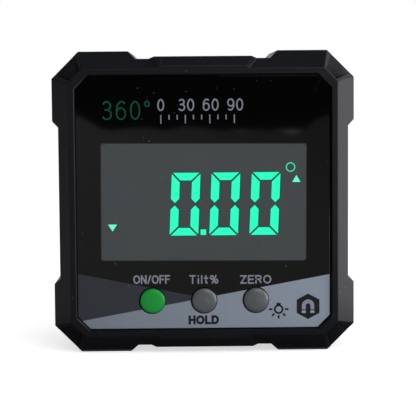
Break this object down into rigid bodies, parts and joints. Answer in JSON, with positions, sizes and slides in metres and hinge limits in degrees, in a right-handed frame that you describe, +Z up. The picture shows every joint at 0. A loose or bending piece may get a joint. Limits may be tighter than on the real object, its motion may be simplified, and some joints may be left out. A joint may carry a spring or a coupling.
{
  "type": "digital angle gauge",
  "caption": "Square digital angle gauge with corner bumpers, a lit segment display, push buttons and magnets in its base.",
  "frame": {"origin": "under the middle of the gauge, on the plane of its feet", "axes": "+Z up, the display faces -Y, +X to the right as the display is read"},
  "size_m": [0.061, 0.0324, 0.061],
  "materials": {
    "housing": "satin black moulded plastic with a fine grain",
    "panel": "glossy printed panel, black with a slate and a light grey field",
    "display_glass": "dark segment glass, lit from behind",
    "white_plastic": "white moulded plastic",
    "clear_plastic": "clear light guide",
    "silicone": "dark silicone",
    "green_cap": "satin green cap",
    "grey_cap": "satin grey cap",
    "board": "green solder mask",
    "chip": "black moulded chip and switch bodies",
    "steel": "plated steel",
    "contact": "nickel plated spring steel",
    "magnet": "nickel plated magnet",
    "cell_wrap": "plain dark cell sleeve",
    "lead_red": "red wire sleeve",
    "lead_black": "black wire sleeve"
  },
  "bodies": {
    "housing": {"front_shell": "housing", "rear_shell": "housing", "battery_door": "housing", "front_panel": "panel", "lcd_glass": "display_glass", "lcd_holder": "white_plastic", "light_guide": "clear_plastic", "backlight_led": "white_plastic", "contact_strip": "silicone", "button_seal": "silicone", "main_board": "board", "switch_on_off": "chip", "switch_hold": "chip", "switch_zero": "chip", "control_chip": "chip", "tilt_sensor": "chip", "board_screw_1": "steel", "board_screw_2": "steel", "board_screw_3": "steel", "board_screw_4": "steel", "case_seal": "silicone", "case_screw_1": "steel", "case_screw_2": "steel", "case_screw_3": "steel", "case_screw_4": "steel", "cell_upper": "cell_wrap", "cell_lower": "cell_wrap", "link_plate": "contact", "positive_plate": "contact", "negative_plate": "contact", "spring_upper": "steel", "spring_lower": "steel", "lead_positive": "lead_red", "lead_negative": "lead_black", "door_seal": "silicone", "door_screw": "steel", "magnet_1": "magnet", "magnet_2": "magnet", "magnet_3": "magnet", "magnet_4": "magnet"},
    "on_off_cap": {"button_on_off": "green_cap"},
    "hold_cap": {"button_hold": "grey_cap"},
    "zero_cap": {"button_zero": "grey_cap"}
  },
  "joints": [
    {"name": "on_off_press", "type": "slide", "parent": "housing", "child": "on_off_cap", "axis": [0, 1, 0], "range_m": [0, 0.0004], "stiffness_N_per_m": 1000},
    {"name": "hold_press", "type": "slide", "parent": "housing", "child": "hold_cap", "axis": [0, 1, 0], "range_m": [0, 0.0004], "stiffness_N_per_m": 1000},
    {"name": "zero_press", "type": "slide", "parent": "housing", "child": "zero_cap", "axis": [0, 1, 0], "range_m": [0, 0.0004], "stiffness_N_per_m": 1000}
  ]
}
